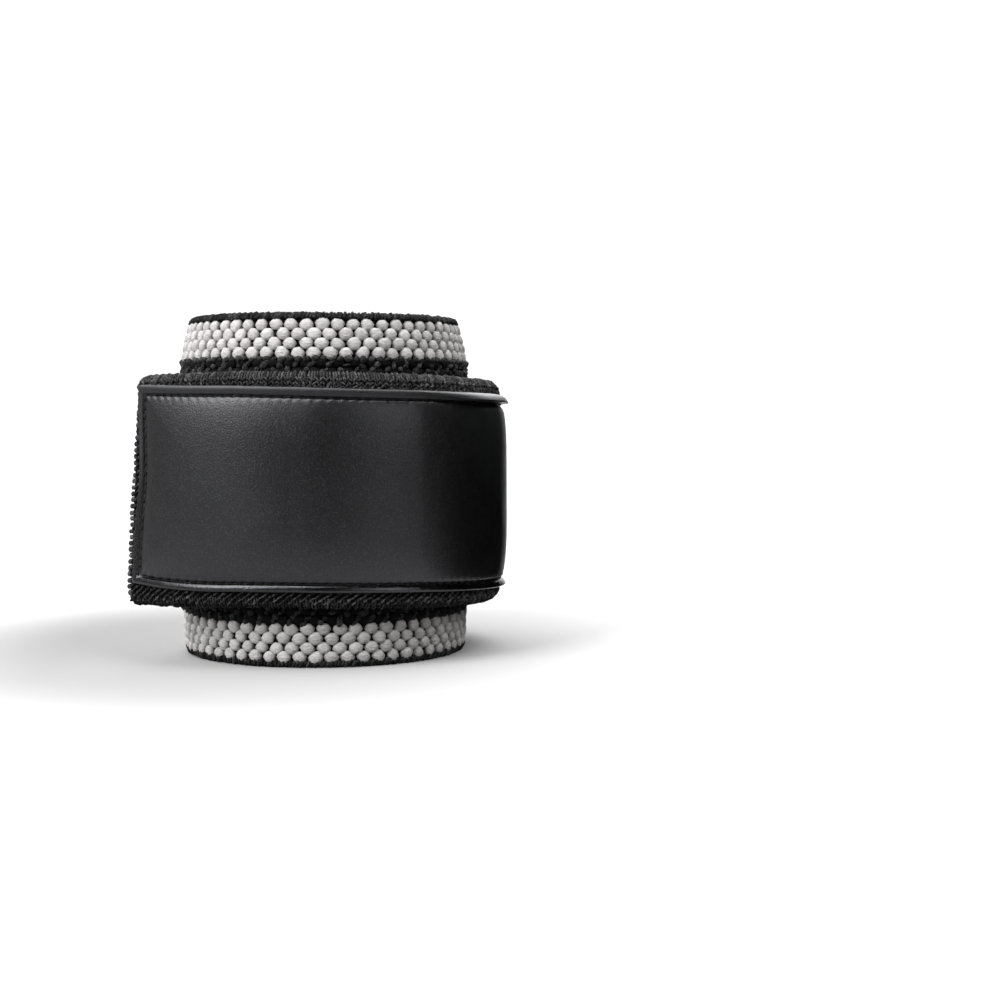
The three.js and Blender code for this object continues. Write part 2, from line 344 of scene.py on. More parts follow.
# %% [markdown]
# ## Yarn beads
# What looks like beads is thick yarn that floats over the elastic, puffs up and dives back in.
# The rows lie one upon the other, shifted by half a step, like bricks.
# One puff starts as a sphere with its poles along the yarn. Its outline is pressed towards a hexagon by its
# neighbours, its crown is filled out and its buried back is cut off.
# The grey stripes show best and get a finer puff than the black rows, which have thousands of copies.

# %% Bead template
BEAD_PITCH, ROW_PITCH = 3.58, 2.03
FIRST_ROW, ROW_COUNT = 2.25, 36
ROWS = FIRST_ROW + ROW_PITCH * np.arange(ROW_COUNT)  # heights of the rows
BURIED = 0.3  # the back is cut off this share of the sphere's radius behind its middle
HEXAGON_SHARE, HEXAGON_SIZE = 0.8, 1.08


def wrap_yarn(bead, half_length):
    """A UV map that runs round the yarn in U, with 0.5 at the crown, and along it in V."""
    mesh = bead.data
    x, y, z = vertex_places(mesh)[read_numbers(mesh.loops, "vertex_index")].T
    around = np.arctan2(z, -y) / (2 * math.pi) + 0.5
    along = x / (2 * half_length) + 0.5
    mesh.uv_layers.active.uv.foreach_set("vector", np.column_stack([around, along]).ravel())


def half_sphere(name, around, along, back):
    """A sphere of 1 mm radius with its poles along X, left in edit mode with its back cut off."""
    bpy.ops.object.select_all(action="DESELECT")
    turn = (0, math.pi / 2, 0)
    bpy.ops.mesh.primitive_uv_sphere_add(segments=around, ring_count=along, radius=MM, rotation=turn)
    edit(finish_mesh(bpy.context.object, name))
    bpy.ops.mesh.select_all(action="SELECT")
    bpy.ops.mesh.bisect(plane_co=(0, back * MM, 0), plane_no=(0, 1, 0), clear_outer=True)
    bpy.ops.mesh.select_all(action="SELECT")


def yarn_bead(around, along, half_length, half_height, depth):
    half_sphere("bead", around, along, BURIED)
    bead = done()

    def puff(x, y, z):
        """A flattish crown over an outline between a circle and a hexagon with its points along the yarn."""
        half_side = math.pi / 6
        corner = (np.arctan2(z, x) + half_side) % (2 * half_side) - half_side
        hexagon = math.cos(half_side) / np.cos(half_side - np.abs(corner)) * HEXAGON_SIZE
        wide = 1 + HEXAGON_SHARE * (hexagon - 1)
        crown = np.where(y < 0, -np.clip(1 - np.hypot(x, z) ** 4, 0, 1) ** 0.6, y)
        return x * wide * half_length, crown * depth, z * wide * half_height

    reshape(bead, puff)
    wrap_yarn(bead, half_length)
    return bead


print("bead pitch", BEAD_PITCH, "mm,", round(band_length / BEAD_PITCH), "in a row")

# %% Bead places
OUTER_MARGIN, INNER_MARGIN = 1.2, 0.8  # the rows keep this far from the band's two ends
TILT_SPREAD, TURN_SPREAD = 0.07, 0.09
SIZE_SPREAD = (0.045, 0.07, 0.045)
ALONG_SPREAD, HEIGHT_SPREAD = 0.07, 0.05


def row_places(rows, middle, rng):
    """Places, tilts, turns and sizes for beads in some rows, whose middles lie this deep in the band."""
    places = []
    for row in rows:
        x = np.arange(OUTER_MARGIN + BEAD_PITCH / 2 * (row % 2), band_length - INNER_MARGIN, BEAD_PITCH)
        z = np.full(len(x), ROWS[row])
        places.append(np.column_stack([x, middle + lean(z), z]))
    places = np.vstack(places)
    tilt = -np.arctan(lean_slope(places[:, 2])) + rng.normal(0, TILT_SPREAD, len(places))
    turn = rng.normal(0, TURN_SPREAD, len(places))
    size = 1 + rng.normal(0, 1, (len(places), 3)) * SIZE_SPREAD
    places[:, 0] += rng.normal(0, ALONG_SPREAD, len(places))
    places[:, 2] += rng.normal(0, HEIGHT_SPREAD, len(places))
    return places, tilt, turn, size


print("rows from", ROWS[0], "to", ROWS[-1], "mm")

# %% Grey stripes
GREY_ROWS = {"grey_beads_lower": range(0, 4), "grey_beads_upper": range(32, 36)}
GREY_BEAD = {"around": 12, "along": 8, "half_length": 1.64, "half_height": 1.43}
# Height of a puff, depth of its middle under the band's outer face, and the tilt that turns it to its face
GREY_FACES = ((0.85, 0.85, 0), (0.8, BAND_THICKNESS - 0.8, math.pi))

beads = {}
for seed, (name, rows) in enumerate(GREY_ROWS.items()):
    rng = np.random.default_rng(10 + seed)
    halves = []
    for depth, middle, facing in GREY_FACES:
        places, tilt, turn, size = row_places(rows, middle, rng)
        template = yarn_bead(depth=depth, **GREY_BEAD)
        halves.append(stamp(name, template, places, tilt + facing, turn, size, 20 + seed, warp=0.07))
    outer, inner = halves
    choose(outer)
    inner.select_set(True)
    bpy.ops.object.join()
    beads[name] = outer
    outer.name = outer.data.name = name
    roll(outer, band_guide)

# %% Black rows
BLACK_ROWS = range(4, 32)
BLACK_BEAD = {"around": 6, "along": 6, "half_length": 1.6, "half_height": 1.2}
# The same as for the grey faces
BLACK_FACES = {"black_beads_outer": (0.9, 1.0, 0), "black_beads_inner": (0.8, BAND_THICKNESS - 0.9, math.pi)}

for seed, (name, (depth, middle, facing)) in enumerate(BLACK_FACES.items()):
    places, tilt, turn, size = row_places(BLACK_ROWS, middle, np.random.default_rng(32 + seed))
    template = yarn_bead(depth=depth, **BLACK_BEAD)
    beads[name] = stamp(name, template, places, tilt + facing, turn, size, 42 + seed)
    roll(beads[name], band_guide)

# %% [markdown]
# ## Binder yarn
# Between the black puffs a finer yarn binds the weave, and it stands out of the gaps as short, uneven curls.
# Two small curls for each gap, scattered a little, break the black rows up as the real yarn does.
# Only the turns that show get them, outside and inside.
# One more row covers the lower edge of the upper grey stripe.

# %% Binders between the black beads
CURL_BACK = 0.35  # the curl's back is cut off this share of its height behind its middle
BINDER_CURL = {"half_length": 0.85, "half_width": 0.66, "height": 0.6}
# Depth of the curls' middle under the band's outer face, and the tilt that turns them to their face
BINDER_FACES = {"binders_outer": (0.62, 0), "binders_inner": (1.95, math.pi)}
PAIR_STEP = np.array([0.3, 0, 0.5])  # from the middle of a gap to one of its two curls
PAIR_TURNS = (65, 35)  # degrees
BINDER_SPREAD, BINDER_TURN_SPREAD, BINDER_SIZE_SPREAD = (0.25, 0.12, 0.18), 0.45, 0.2
ONE_TURN = 2 * math.pi * OUTER_RADIUS
OVERRUN = 5  # how far the curls go on past the turn that shows
HEM_DROP, HEM_DEPTH, HEM_TURN = 1.2, 0.45, -0.2  # the row along the upper stripe's lower edge
HEM_FREEDOM = 0.3  # its share of the others' spread


def yarn_curl(half_length, half_width, height):
    """A short oval curl of yarn, cut flat at the back; it lies along X."""
    half_sphere("curl", 6, 4, CURL_BACK)
    bpy.ops.transform.resize(value=(half_length, height, half_width))
    return done()


for seed, (name, (middle, facing)) in enumerate(BINDER_FACES.items()):
    rng = np.random.default_rng(49 + seed)
    gaps = row_places(BLACK_ROWS, middle, rng)[0] + (BEAD_PITCH / 2, 0, 0)
    along = gaps[:, 0] if facing == 0 else band_length - gaps[:, 0]
    gaps = gaps[(along < ONE_TURN + OVERRUN) & (gaps[:, 0] < band_length - 1)]
    places = np.vstack([gaps + PAIR_STEP, gaps - PAIR_STEP])
    turn = -np.radians(np.repeat(PAIR_TURNS, len(gaps)))
    if facing == 0:
        x = np.arange(1.5, ONE_TURN + OVERRUN, BEAD_PITCH / 2)
        z = np.full(len(x), ROWS[GREY_ROWS["grey_beads_upper"][0]] - HEM_DROP)
        hem = np.column_stack([x, HEM_DEPTH + lean(z), z])
        places = np.vstack([places, hem + rng.normal(0, 0.05, hem.shape)])
        turn = np.append(turn, np.full(len(x), HEM_TURN))
    free = np.where(np.arange(len(places)) < 2 * len(gaps), 1, HEM_FREEDOM)
    places += rng.normal(0, 1, places.shape) * BINDER_SPREAD * free[:, None]
    turn = turn + rng.normal(0, BINDER_TURN_SPREAD, len(places)) * free
    size = 1 + rng.normal(0, BINDER_SIZE_SPREAD, (len(places), 3))
    beads[name] = stamp(name, yarn_curl(**BINDER_CURL), places, facing, turn, size, 50 + seed)
    roll(beads[name], band_guide)

# %% [markdown]
# ## Selvedge ribs
# Along its edges the band ends in a black selvedge: weft yarn loops round the outermost warp, so fine ribs
# wrap over the edge.
# One rib is a filled circle flattened to a yarn's section, drawn up, spun half a turn over the edge and drawn
# down again.
# The same rib, smaller, finishes the strap's edges further on.

# %% Rib template
def edge_rib(radius, half_width, half_thickness, leg, steps):
    """A rib over an edge that runs along X at the origin; it comes up on -Y and goes down on +Y."""
    bpy.ops.object.select_all(action="DESELECT")
    foot = (0, -radius * MM, -leg * MM)
    bpy.ops.mesh.primitive_circle_add(vertices=6, radius=1, fill_type="NGON", location=foot)
    edit(finish_mesh(bpy.context.object, "rib"))
    bpy.ops.mesh.select_all(action="SELECT")
    bpy.ops.transform.resize(value=(half_width * MM, half_thickness * MM, 1))
    bpy.ops.mesh.extrude_region_move(TRANSFORM_OT_translate={"value": (0, 0, leg * MM)})
    bpy.ops.mesh.spin(steps=steps, angle=math.pi, center=(0, 0, 0), axis=(1, 0, 0))
    bpy.ops.mesh.extrude_region_move(TRANSFORM_OT_translate={"value": (0, 0, -leg * MM)})
    bpy.ops.mesh.select_all(action="SELECT")
    bpy.ops.mesh.remove_doubles(threshold=0.01 * MM)
    bpy.ops.mesh.fill_holes(sides=0)
    bpy.ops.mesh.normals_make_consistent(inside=False)
    return done()


print("rib template ready")

# %% Band selvedge
BAND_RIB = {"radius": 0.9, "half_width": 0.4, "half_thickness": 0.4, "leg": 0.7, "steps": 5}
RIB_PITCH, END_RIB_PITCH = 0.84, 1.4
RIB_INSET, RIB_DEPTH = 1.15, 1.35  # the ribs' middles lie this far in from the edge and under the outer face
END_INSET, END_DEPTH = 0.9, 1.4  # the same at the band's two ends
RIB_SLANT = 0.45
RIB_STAGGER = 0.14  # every second rib stands out this much more

rng = np.random.default_rng(50)
edges = []
x = np.arange(END_INSET, band_length - 0.5, RIB_PITCH)
for height, turn in ((BAND_WIDTH - RIB_INSET, 0), (RIB_INSET, math.pi)):
    z = np.full(len(x), height)
    places = np.column_stack([x, lean(z) + RIB_DEPTH, z])
    places += rng.normal(0, 1, places.shape) * (0.05, 0.03, 0.03)
    places[::2, 2] += RIB_STAGGER * math.cos(turn)
    turns = turn + RIB_SLANT + rng.normal(0, 0.08, len(x))
    edges.append((places, turns, -np.arctan(lean_slope(z))))
z = np.arange(3, 74, END_RIB_PITCH)
for end, turn in ((END_INSET, -math.pi / 2), (band_length - END_INSET, math.pi / 2)):
    places = np.column_stack([np.full(len(z), end), lean(z) + END_DEPTH, z])
    edges.append((places, np.full(len(z), turn), np.zeros(len(z))))
places, turn, tilt = (np.concatenate(column) for column in zip(*edges))
size = 1 + rng.normal(0, 0.06, (len(places), 3))
selvedge = stamp("band_selvedge", edge_rib(**BAND_RIB), places, tilt, turn, size, 51)
roll(selvedge, band_guide)

# %% [markdown]
# ## Strap core
# The strap is a thick napped webbing with rounded long edges. Its free end is cut at a slant and its corners
# are rounded.
# It starts as a plane at its flat size: the end's two corners are slid for the slant and rounded with a
# vertex bevel, the outline is extruded to the strap's thickness and its rim is bevelled round.
# Slices every few millimetres then let it bend round the ring.

# %% Strap core
STRAP_WIDTH, STRAP_THICKNESS = 50, 4.0
STRAP_END = 1.5  # where the middle of the slanted free end lies on the route
STRAP_SLANT, SLANT_LENGTH = 3, 12  # the lower corner reaches this much further, and the slant fades over this
STRAP_CORNER = 3
FLARE, FLARE_LENGTH = 0.35, 40  # the free end's lower corner stands out this much more than its middle
DROOP, DROOP_LENGTH = 0.8, 28  # the free end hangs down this much
LOWER_SPREAD = 0.02  # the lower half is wider by this share on the right
CORE_INSET, CORE_FACE = 0.5, 0.1  # the core lies this much inside the strap's outline and faces
CORE_ROUND = 1.71
FIRST_SLICE, SLICE_STEP = 4, 2.5


def end_slant(z):
    """How far the slanted free end lies from its own middle at a height."""
    return STRAP_SLANT * z / STRAP_WIDTH


def slant(x, z):
    """How far the slant of the free end moves a point of the strap along its length."""
    return np.maximum(0, 1 - (x - STRAP_END) / SLANT_LENGTH) * end_slant(z)


def hang(x, y, z):
    """Bring a flat strap piece to its height, with its free end's flare and droop; z is from its middle."""
    flare = FLARE * np.maximum(0, 1 - x / FLARE_LENGTH) ** 2 * z / (STRAP_WIDTH / 2)
    droop = DROOP * np.clip(1 - x / DROOP_LENGTH, 0, 1)
    spread = LOWER_SPREAD * np.minimum(z, 0) * np.clip((x - 40) / 40, 0, 1)
    return x, y + flare, z + np.interp(x, row_distance, STRAP_ROUTE[:, 2]) - droop + spread


def round_a_face(edge):
    """True for the edges round the strap's two faces."""
    level = abs((edge.verts[0].co - edge.verts[1].co).y) < 0.1 * MM
    return level and len(edge.link_faces) == 2 and edge.calc_face_angle(0) > 1


bpy.ops.object.select_all(action="DESELECT")
bpy.ops.mesh.primitive_plane_add(size=1, rotation=STANDING)
bpy.ops.object.mode_set(mode="EDIT")
bpy.ops.transform.resize(value=((strap_length - STRAP_END) * MM, 1, (STRAP_WIDTH - 2 * CORE_INSET) * MM))
bpy.ops.transform.translate(value=((strap_length + STRAP_END) / 2 * MM, 0, 0))
strap_core = finish_mesh(done(), "strap_core")
half_way = strap_length / 2


def cut_end(x, y, z):
    """Slide the free end for its slant, and leave room for the yarns outside the core."""
    return x + np.where(x < half_way, CORE_INSET + end_slant(z), 0), y - CORE_FACE, z


reshape(strap_core, cut_end)
edit(strap_core)
pick("VERT", lambda v: v.co.x < half_way * MM)
bpy.ops.mesh.bevel(offset=STRAP_CORNER * MM, segments=6, affect="VERTICES")
bpy.ops.mesh.select_all(action="SELECT")
out = (0, -(STRAP_THICKNESS - 2 * CORE_FACE) * MM, 0)
bpy.ops.mesh.extrude_region_move(TRANSFORM_OT_translate={"value": out})
pick("EDGE", round_a_face)
bpy.ops.mesh.bevel(offset=CORE_ROUND * MM, segments=4, affect="EDGES")
for cut in np.arange(FIRST_SLICE, strap_length, SLICE_STEP):
    bpy.ops.mesh.select_all(action="SELECT")
    bpy.ops.mesh.bisect(plane_co=(cut * MM, 0, 0), plane_no=(1, 0, 0))
bpy.ops.mesh.select_all(action="SELECT")
bpy.ops.mesh.normals_make_consistent(inside=False)
strap_core = done()
reshape(strap_core, hang)
bpy.ops.object.shade_smooth_by_angle(angle=math.radians(50))
roll(strap_core, strap_guide)

# %% [markdown]
# ## Strap edges
# Fine ribs of thread lie side by side round the strap's long edges, and round the cut end they are the
# loops of an overlock seam.
# They reuse the rib template at a smaller size, stamped along both edges and, turned by a quarter, down the
# slanted end. The loops there are broader and bulge a little below the middle.

# %% Strap edge ribs
STRAP_RIB = {"radius": 1.66, "half_width": 0.19, "half_thickness": 0.36, "leg": 0.5, "steps": 6}
THREAD_PITCH, LOOP_PITCH = 0.58, 1.35  # along the edges, and down the end
EDGE_INSET = 1.95  # the ribs' middles lie this far in from the outline
END_REACH, END_ZONE = 22.2, 22.5  # half the height of the row of end loops, and of the zone of broad ones
END_LOOP_BREADTH = 3.0
END_BULGE = 0.7
CORNER_ARC = 1.1  # radius on which the corner ribs' middles lie

x = np.arange(STRAP_END + 3.5, strap_length - 0.3, THREAD_PITCH)
rng = np.random.default_rng(60)
edges = []
for side in (1, -1):
    z = np.full(len(x), side * (STRAP_WIDTH / 2 - EDGE_INSET))
    places = np.column_stack([x + slant(x, z), np.full(len(x), -STRAP_THICKNESS / 2), z])
    edges.append((places, np.full(len(x), 0 if side > 0 else math.pi)))
z = np.arange(-END_REACH, END_REACH + 0.1, LOOP_PITCH)
bulge = END_BULGE * np.clip((16 - z) / 20, 0, 1) * np.clip((z + 25) / 6, 0, 1)
end = STRAP_END + end_slant(z) + EDGE_INSET - bulge
places = np.column_stack([end, np.full(len(z), -STRAP_THICKNESS / 2), z])
edges.append((places, np.full(len(z), -math.pi / 2)))
bend = np.radians(np.arange(8, 88, 12))
for side in (1, -1):
    height = side * (STRAP_WIDTH / 2 - STRAP_CORNER)
    x = STRAP_END + end_slant(height) + STRAP_CORNER - CORNER_ARC * np.cos(bend)
    z = height + side * CORNER_ARC * np.sin(bend)
    places = np.column_stack([x, np.full(len(bend), -STRAP_THICKNESS / 2), z])
    edges.append((places, -side * (math.pi / 2 - bend) + (0 if side > 0 else math.pi)))
places, turn = (np.concatenate(column) for column in zip(*edges))
places += rng.normal(0, 0.04, places.shape)
turn = turn + rng.normal(0, 0.05, len(turn))
size = 1 + rng.normal(0, 0.05, (len(places), 3))
size[np.abs(places[:, 2]) < END_ZONE, 0] *= END_LOOP_BREADTH
strap_edging = stamp("strap_edging", edge_rib(**STRAP_RIB), places, 0, turn, size, 61)
reshape(strap_edging, hang)
roll(strap_edging, strap_guide)

# %% [markdown]
# ## Looped face of the strap
# Where the leather doesn't cover it, the strap shows slanted cords of short loops, which the hook side of the
# closure grips.
# Each loop is a small curl. Laid end to end they make cords that rise to the right, and near the upper edge
# they lean in pairs like a braid.

# %% Strap loops
LEATHER_WIDTH = 42.8
LEATHER_START, LEATHER_END = STRAP_END + 3.1, strap_length - 15
LOOP_CURL = {"half_length": 0.6, "half_width": 0.21, "height": 0.55}
LOOP_DEPTH = -STRAP_THICKNESS + 0.15
CORD_RISE = math.radians(38)
CORD_PITCH, GRAIN = 1.75, 0.95  # from cord to cord along the strap, and from loop to loop along a cord
BRAID_HEIGHTS, BRAID_PITCH, BRAID_LEAN = (23.3, 22.4, 21.6), 0.62, 28
TUCK = 0.8  # the loops go on this far under the leather's outline
ROUNDING_START, ROUNDING = 22.6, 0.35  # the face falls away towards its edges

rows = []
for row, z in enumerate(np.arange(-23.7, 22, GRAIN * math.sin(CORD_RISE))):
    start = STRAP_END - 3 + (row * GRAIN * math.cos(CORD_RISE)) % CORD_PITCH
    x = np.arange(start, strap_length - 1, CORD_PITCH)
    rows.append((x, np.full(len(x), z), np.full(len(x), -CORD_RISE)))
for z in BRAID_HEIGHTS:
    x = np.arange(STRAP_END + 2, strap_length - 1, BRAID_PITCH)
    rows.append((x, np.full(len(x), z), -np.radians(90 + BRAID_LEAN * (-1.0) ** np.arange(len(x)))))
x, z, turn = (np.concatenate(column) for column in zip(*rows))
under_leather = (x > LEATHER_START + TUCK) & (x < LEATHER_END - TUCK) & (np.abs(z) < LEATHER_WIDTH / 2 - TUCK)
showing = ~under_leather & (x >= STRAP_END + end_slant(z) + 1.9)
places = np.column_stack([x, np.full(len(x), LOOP_DEPTH), z])[showing]
rng = np.random.default_rng(70)
places += rng.normal(0, 1, places.shape) * (0.07, 0.07, 0.05)
places[:, 1] += ROUNDING * np.maximum(0, np.abs(places[:, 2]) - ROUNDING_START) ** 2
turn = turn[showing] + rng.normal(0, 0.14, len(places))
size = 1 + rng.normal(0, 0.12, (len(places), 3))
size[places[:, 2] < 21, 2] *= 1.3
strap_loops = stamp("strap_loops", yarn_curl(**LOOP_CURL), places, 0, turn, size, 71)
reshape(strap_loops, hang)
roll(strap_loops, strap_guide)

# %% [markdown]
# ## Leather facing
# The facing is a soft leather panel whose edges are turned over a piping and sewn through, so it has a round
# rim, a stitched groove and a softly padded field.
# It starts as a thin block: its outer face is inset again and again, rising and falling as the section of the
# real edge does. The long and upright edges are then subdivided so that it can bend and pucker.

# %% Leather block and insets
# Distance in from the outline, and thickness of the leather there
LEATHER_EDGE = [
    (0, 0.4), (0.1, 0.8), (0.25, 1.02), (0.5, 1.1), (0.8, 1.07), (1.15, 0.97), (1.45, 0.83),
    (1.62, 0.58), (1.72, 0.36), (1.98, 0.34), (2.08, 0.68), (2.25, 0.95), (2.55, 1.13), (3.1, 1.27),
    (4.0, 1.44), (5.2, 1.6), (6.8, 1.76), (8.8, 1.9), (11.5, 2.0), (15, 2.04),
]
LEATHER_SEAT = STRAP_THICKNESS + 0.15

bpy.ops.object.select_all(action="DESELECT")
block = (LEATHER_END - LEATHER_START, LEATHER_EDGE[0][1], LEATHER_WIDTH)
middle = ((LEATHER_START + LEATHER_END) / 2 * MM, -(LEATHER_SEAT + LEATHER_EDGE[0][1] / 2) * MM, 0)
bpy.ops.mesh.primitive_cube_add(size=1, location=middle, scale=[side * MM for side in block])
leather = finish_mesh(bpy.context.object, "leather_facing")
edit(leather)
pick("FACE", lambda f: f.normal.y < -0.9)
for (near, thin), (far, thick) in zip(LEATHER_EDGE, LEATHER_EDGE[1:]):
    bpy.ops.mesh.inset(thickness=(far - near) * MM, depth=(thick - thin) * MM)


def longer(length, upright):
    """A test for edges over a length that stand upright, or lie along the strap."""
    def test(edge):
        run = edge.verts[1].co - edge.verts[0].co
        return run.length > length * MM and abs(run.z if upright else run.x) > 0.999 * run.length
    return test


for length, upright, cuts in ((15, True, 35), (50, False, 9), (8, False, 31)):
    pick("EDGE", longer(length, upright))
    bpy.ops.mesh.subdivide(number_cuts=cuts)
leather = done()
print("leather", [round(side, 1) for side in block], "mm,", len(leather.data.polygons), "faces")

# %% [markdown]
# ## Puckers and stitches
# The thread pulls the leather in at every stitch, which puckers the groove and leaves small swellings between
# the stitches. A wave of the stitch length moves the vertices there.
# The field gets a few broad, shallow waves, as leather over napped webbing has.
# Round the right of the ring the rims stand off the strap, as stiff turned edges do round a bend.
# The stitches themselves are short thread capsules laid round the groove.

# %% Puckers
STITCH = 2.0  # from stitch to stitch
RIM, RIM_STEP = 1.7, 0.2  # where the rim ends, in from the outline, and over how much
PULL, PULL_PLACE, PULL_WIDTH = 0.16, 2.25, 0.3  # depth of the thread's pull, and where it lies
FIELD_WAVE = 0.04
LOWER_LIFT, LOWER_MIDDLE, LOWER_LENGTH = 0.9, 103, 20  # how far the lower rim stands off, and where
UPPER_START, UPPER_STOP, UPPER_FADE = 62, 132, 24  # where the upper rim stands off
UPPER_FOOT, UPPER_TILT = 0.2, 1.0  # its lift at the outline, and how much that grows inwards
FIELD_SINK = 0.5  # the field's edge sinks this much beside it


def leather_inset(x, z):
    """How far a point of the flat leather lies in from its long edges, and from its ends."""
    return LEATHER_WIDTH / 2 - np.abs(z), np.minimum(x - LEATHER_START, LEATHER_END - x)


def on_rim(inset):
    """1 on the turned rim and 0 inside it."""
    return np.clip((RIM - inset) / RIM_STEP, 0, 1)


def pucker(x, y, z):
    """Move the flat leather in at the stitches and in its field's waves, and its rims out on the right."""
    near_side, near_end = leather_inset(x, z)
    inset = np.minimum(near_side, near_end)
    wave = np.cos(2 * math.pi * np.where(near_side < near_end, x, z) / STITCH)
    pull = PULL * np.exp(-((inset - PULL_PLACE) / PULL_WIDTH) ** 2) * wave
    broad = np.sin(x / 9.1 + 0.7) + 0.6 * np.sin(x / 5.3 + z / 11 + 2) + np.sin(z / 8 - x / 17)
    broad = FIELD_WAVE * broad * np.clip((inset - 3) / 10, 0, 1)
    below = LOWER_LIFT * np.exp(-((x - LOWER_MIDDLE) / LOWER_LENGTH) ** 2) * np.clip(1 - inset / 2, 0, 1)
    stretch = np.sin(np.clip((x - UPPER_START) / UPPER_FADE, 0, 1) * math.pi / 2) ** 2
    stretch = stretch * np.clip((UPPER_STOP - x) / UPPER_FADE, 0, 1) * (z > 0)
    above = stretch * (UPPER_FOOT + UPPER_TILT * inset) * on_rim(inset)
    sink = FIELD_SINK * stretch * np.exp(-((inset - 2.2) / 0.7) ** 2) * (inset > 1.9)
    outer = y < -(LEATHER_SEAT + 0.3)
    return x, y + outer * (pull * (1 - 0.8 * stretch) + broad + sink) - np.where(z < 0, below, above), z


# %% Slant and rise of the leather
LEATHER_SLANT, LEATHER_SLANT_LENGTH = 2.4, 14
# Distances in from the outline as inset, and as they are at the free end and along the top
INSET_AT_END = ((0, 1.45, 1.72, 1.98, 2.25, 9, 200), (0, 1.25, 1.5, 2.3, 2.6, 9, 200))
INSET_AT_TOP = ((0, 1.45, 1.72, 1.98, 2.25, 6, 200), (0, 1.75, 1.98, 2.22, 2.46, 6, 200))
END_RISE = 1.5  # the free end sits this much high on the strap
RIGHT_WIDENING, RIGHT_MIDDLE, RIGHT_LENGTH = 0.4, 98, 25  # to either side, on the right
END_BOW, BOW_LENGTH = 1.0, 10  # the end's middle bows in this much


def slant_leather(x, y, z):
    """Slant, bow and raise the leather's end, widen its groove and the upper rim, and widen the right."""
    end = x - LEATHER_START
    x = LEATHER_START + np.interp(end, *INSET_AT_END)
    z = LEATHER_WIDTH / 2 - np.interp(LEATHER_WIDTH / 2 - z, *INSET_AT_TOP)
    reach = 40 + 40 * z / LEATHER_WIDTH
    rise = END_RISE * np.clip(1 - end / reach, 0, 1) ** 2
    widen = np.sign(z) * RIGHT_WIDENING * np.exp(-((x - RIGHT_MIDDLE) / RIGHT_LENGTH) ** 2)
    bow = END_BOW * np.exp(-((z - 2) / 9) ** 2) * np.clip(1 - end / BOW_LENGTH, 0, 1)
    slide = np.maximum(0, 1 - end / LEATHER_SLANT_LENGTH) * LEATHER_SLANT * z / LEATHER_WIDTH
    return x + bow + slide, y, z + rise + widen


x, y, z = vertex_places(leather.data).T
rubbed = np.clip(-z / 10, -np.clip(1 - (x - 75) / 15, 0, 1), 1)  # 1 below, and -1 above apart from the right
rim = leather.data.attributes.new("rim", "FLOAT", "POINT")
rim.data.foreach_set("value", on_rim(np.minimum(*leather_inset(x, z))) * rubbed)
for change in (pucker, slant_leather, hang):
    reshape(leather, change)
leather.data.shade_smooth()
roll(leather, strap_guide)

# %% Stitches
GROOVE = 1.85  # middle of the stitched groove, in from the outline
STITCH_DEPTH = -(LEATHER_SEAT + 0.55)
STITCHES_FROM_MIDDLE = 9


def thread_capsule(length, thickness):
    """A stitch along X, a little swollen at its two ends."""
    bpy.ops.object.select_all(action="DESELECT")
    bpy.ops.mesh.primitive_uv_sphere_add(segments=8, ring_count=6, radius=1, rotation=(0, math.pi / 2, 0))
    edit(finish_mesh(bpy.context.object, "stitch"))
    bpy.ops.mesh.select_all(action="SELECT")
    bpy.ops.transform.resize(value=(length / 2 * MM, thickness / 2 * MM, thickness / 2 * MM))
    for side in (-1, 1):
        pick("VERT", lambda v: side * v.co.x > 0.3 * length * MM)
        bpy.ops.transform.resize(value=(1, 1.4, 1.4))
    return done()


rng = np.random.default_rng(80)
left, right = LEATHER_START + GROOVE, LEATHER_END - GROOVE
top = LEATHER_WIDTH / 2 - GROOVE
x = np.arange(STITCH * math.ceil(left / STITCH) + STITCH / 2, right, STITCH)
z = STITCH * np.arange(-STITCHES_FROM_MIDDLE, STITCHES_FROM_MIDDLE + 1) + STITCH / 2
sides = [np.column_stack([x, np.full(len(x), height)]) for height in (top, -top)]
ends = [np.column_stack([np.full(len(z), end), z]) for end in (left, right)]
places = np.insert(np.vstack(sides + ends), 1, STITCH_DEPTH, axis=1)
turn = np.concatenate([np.zeros(2 * len(x)), np.full(2 * len(z), math.pi / 2)]) + math.radians(6)
places += rng.normal(0, 0.04, places.shape)
stitches = stamp("leather_stitches", thread_capsule(1.7, 0.42), places, 0, turn, 1, 81)
reshape(stitches, slant_leather)
reshape(stitches, hang)
roll(stitches, strap_guide)

# %% [markdown]
# ## Root seam
# The strap's root is sewn to the band at the back, where bare webbing is left beside the leather.
# Two upright rows of the same stitch, a little thicker, hold it.
# With them the last flat piece is rolled, so the guides can go.

# %% Root seam
SEAM_ROWS = (3, 11)  # distances from the strap's root
SEAM_DEPTH = -(STRAP_THICKNESS + 0.35)
SEAM_REACH, SEAM_PITCH = 22, 1.9

z = np.arange(-SEAM_REACH, SEAM_REACH + 0.1, SEAM_PITCH)
rows = [np.column_stack([np.full(len(z), strap_length - row), z]) for row in SEAM_ROWS]
places = np.insert(np.vstack(rows), 1, SEAM_DEPTH, axis=1)
turn = math.pi / 2 + math.radians(5)
root_seam = stamp("root_seam", thread_capsule(1.75, 0.5), places, 0, turn, 1, 82)
reshape(root_seam, hang)
roll(root_seam, strap_guide)
for guide in (band_guide, strap_guide):
    bpy.data.objects.remove(guide)

# %% [markdown]
# ## Finishes
# Every finish is written as sums and products over the surface.
# A Wire wraps a node's output, so that plus, minus and times add Math nodes. A Finish adds any other node.
# The same few patterns return at the scale of each material: fibres along a yarn, tone from one copy to the
# next, and grain.

